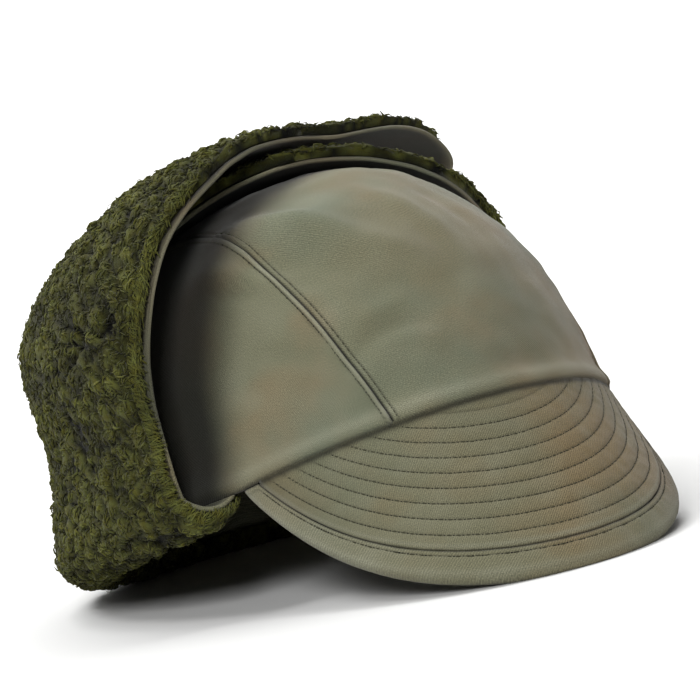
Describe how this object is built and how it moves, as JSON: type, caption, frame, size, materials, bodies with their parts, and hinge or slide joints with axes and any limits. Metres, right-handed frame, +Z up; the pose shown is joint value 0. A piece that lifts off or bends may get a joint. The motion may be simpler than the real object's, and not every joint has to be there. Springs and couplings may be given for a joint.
{
  "type": "pile cap",
  "caption": "Winter field cap: cloth crown of three panels, short quilted bill, and pile-lined ear and neck flaps turned up and crossed over the top.",
  "frame": {"origin": "middle of the cap's box, on the surface that the cap rests on", "axes": "+Z up; the wearer faces -Y, so the bill points along -Y; the wearer's right is -X"},
  "size_m": [0.1956, 0.2648, 0.1422],
  "materials": {
    "olive_sateen": "matt cotton sateen with a fine diagonal twill",
    "bill_sateen": "matt quilted cotton sateen",
    "pile": "deep curly wool pile",
    "hook_tape": "matt woven tape with fine hooks"
  },
  "bodies": {
    "root": {"crown_center_panel": "olive_sateen", "crown_side_right": "olive_sateen", "crown_side_left": "olive_sateen", "bill": "bill_sateen", "bill_hem": "bill_sateen", "flap_shell_right": "olive_sateen", "flap_shell_left": "olive_sateen", "pile_right": "pile", "pile_left": "pile", "flap_fastener": "hook_tape"}
  },
  "joints": []
}
